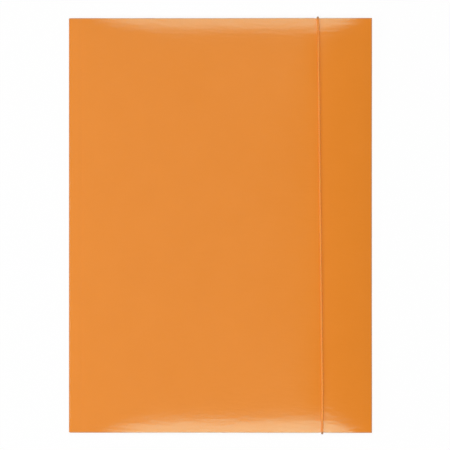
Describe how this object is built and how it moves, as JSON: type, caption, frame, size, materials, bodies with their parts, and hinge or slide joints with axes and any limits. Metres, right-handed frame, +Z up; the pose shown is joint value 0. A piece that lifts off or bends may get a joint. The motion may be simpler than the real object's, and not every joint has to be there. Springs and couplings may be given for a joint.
{
  "type": "elastic folder",
  "caption": "Closed A4 card folder with inner flaps, held shut by a thin round elastic cord along its free edge.",
  "frame": {"origin": "on the surface that the folder lies on, under the middle of its outline", "axes": "+X from the spine to the free edge, +Y to the top edge, +Z up through the front cover"},
  "size_m": [0.234, 0.3238, 0.0097],
  "materials": {
    "lacquered_card": "satin",
    "covered_elastic": "matte",
    "barb_metal": "satin"
  },
  "bodies": {
    "root": {"folder_card": "lacquered_card", "elastic_cord": "covered_elastic", "cord_barb_top": "barb_metal", "cord_barb_bottom": "barb_metal"}
  },
  "joints": []
}
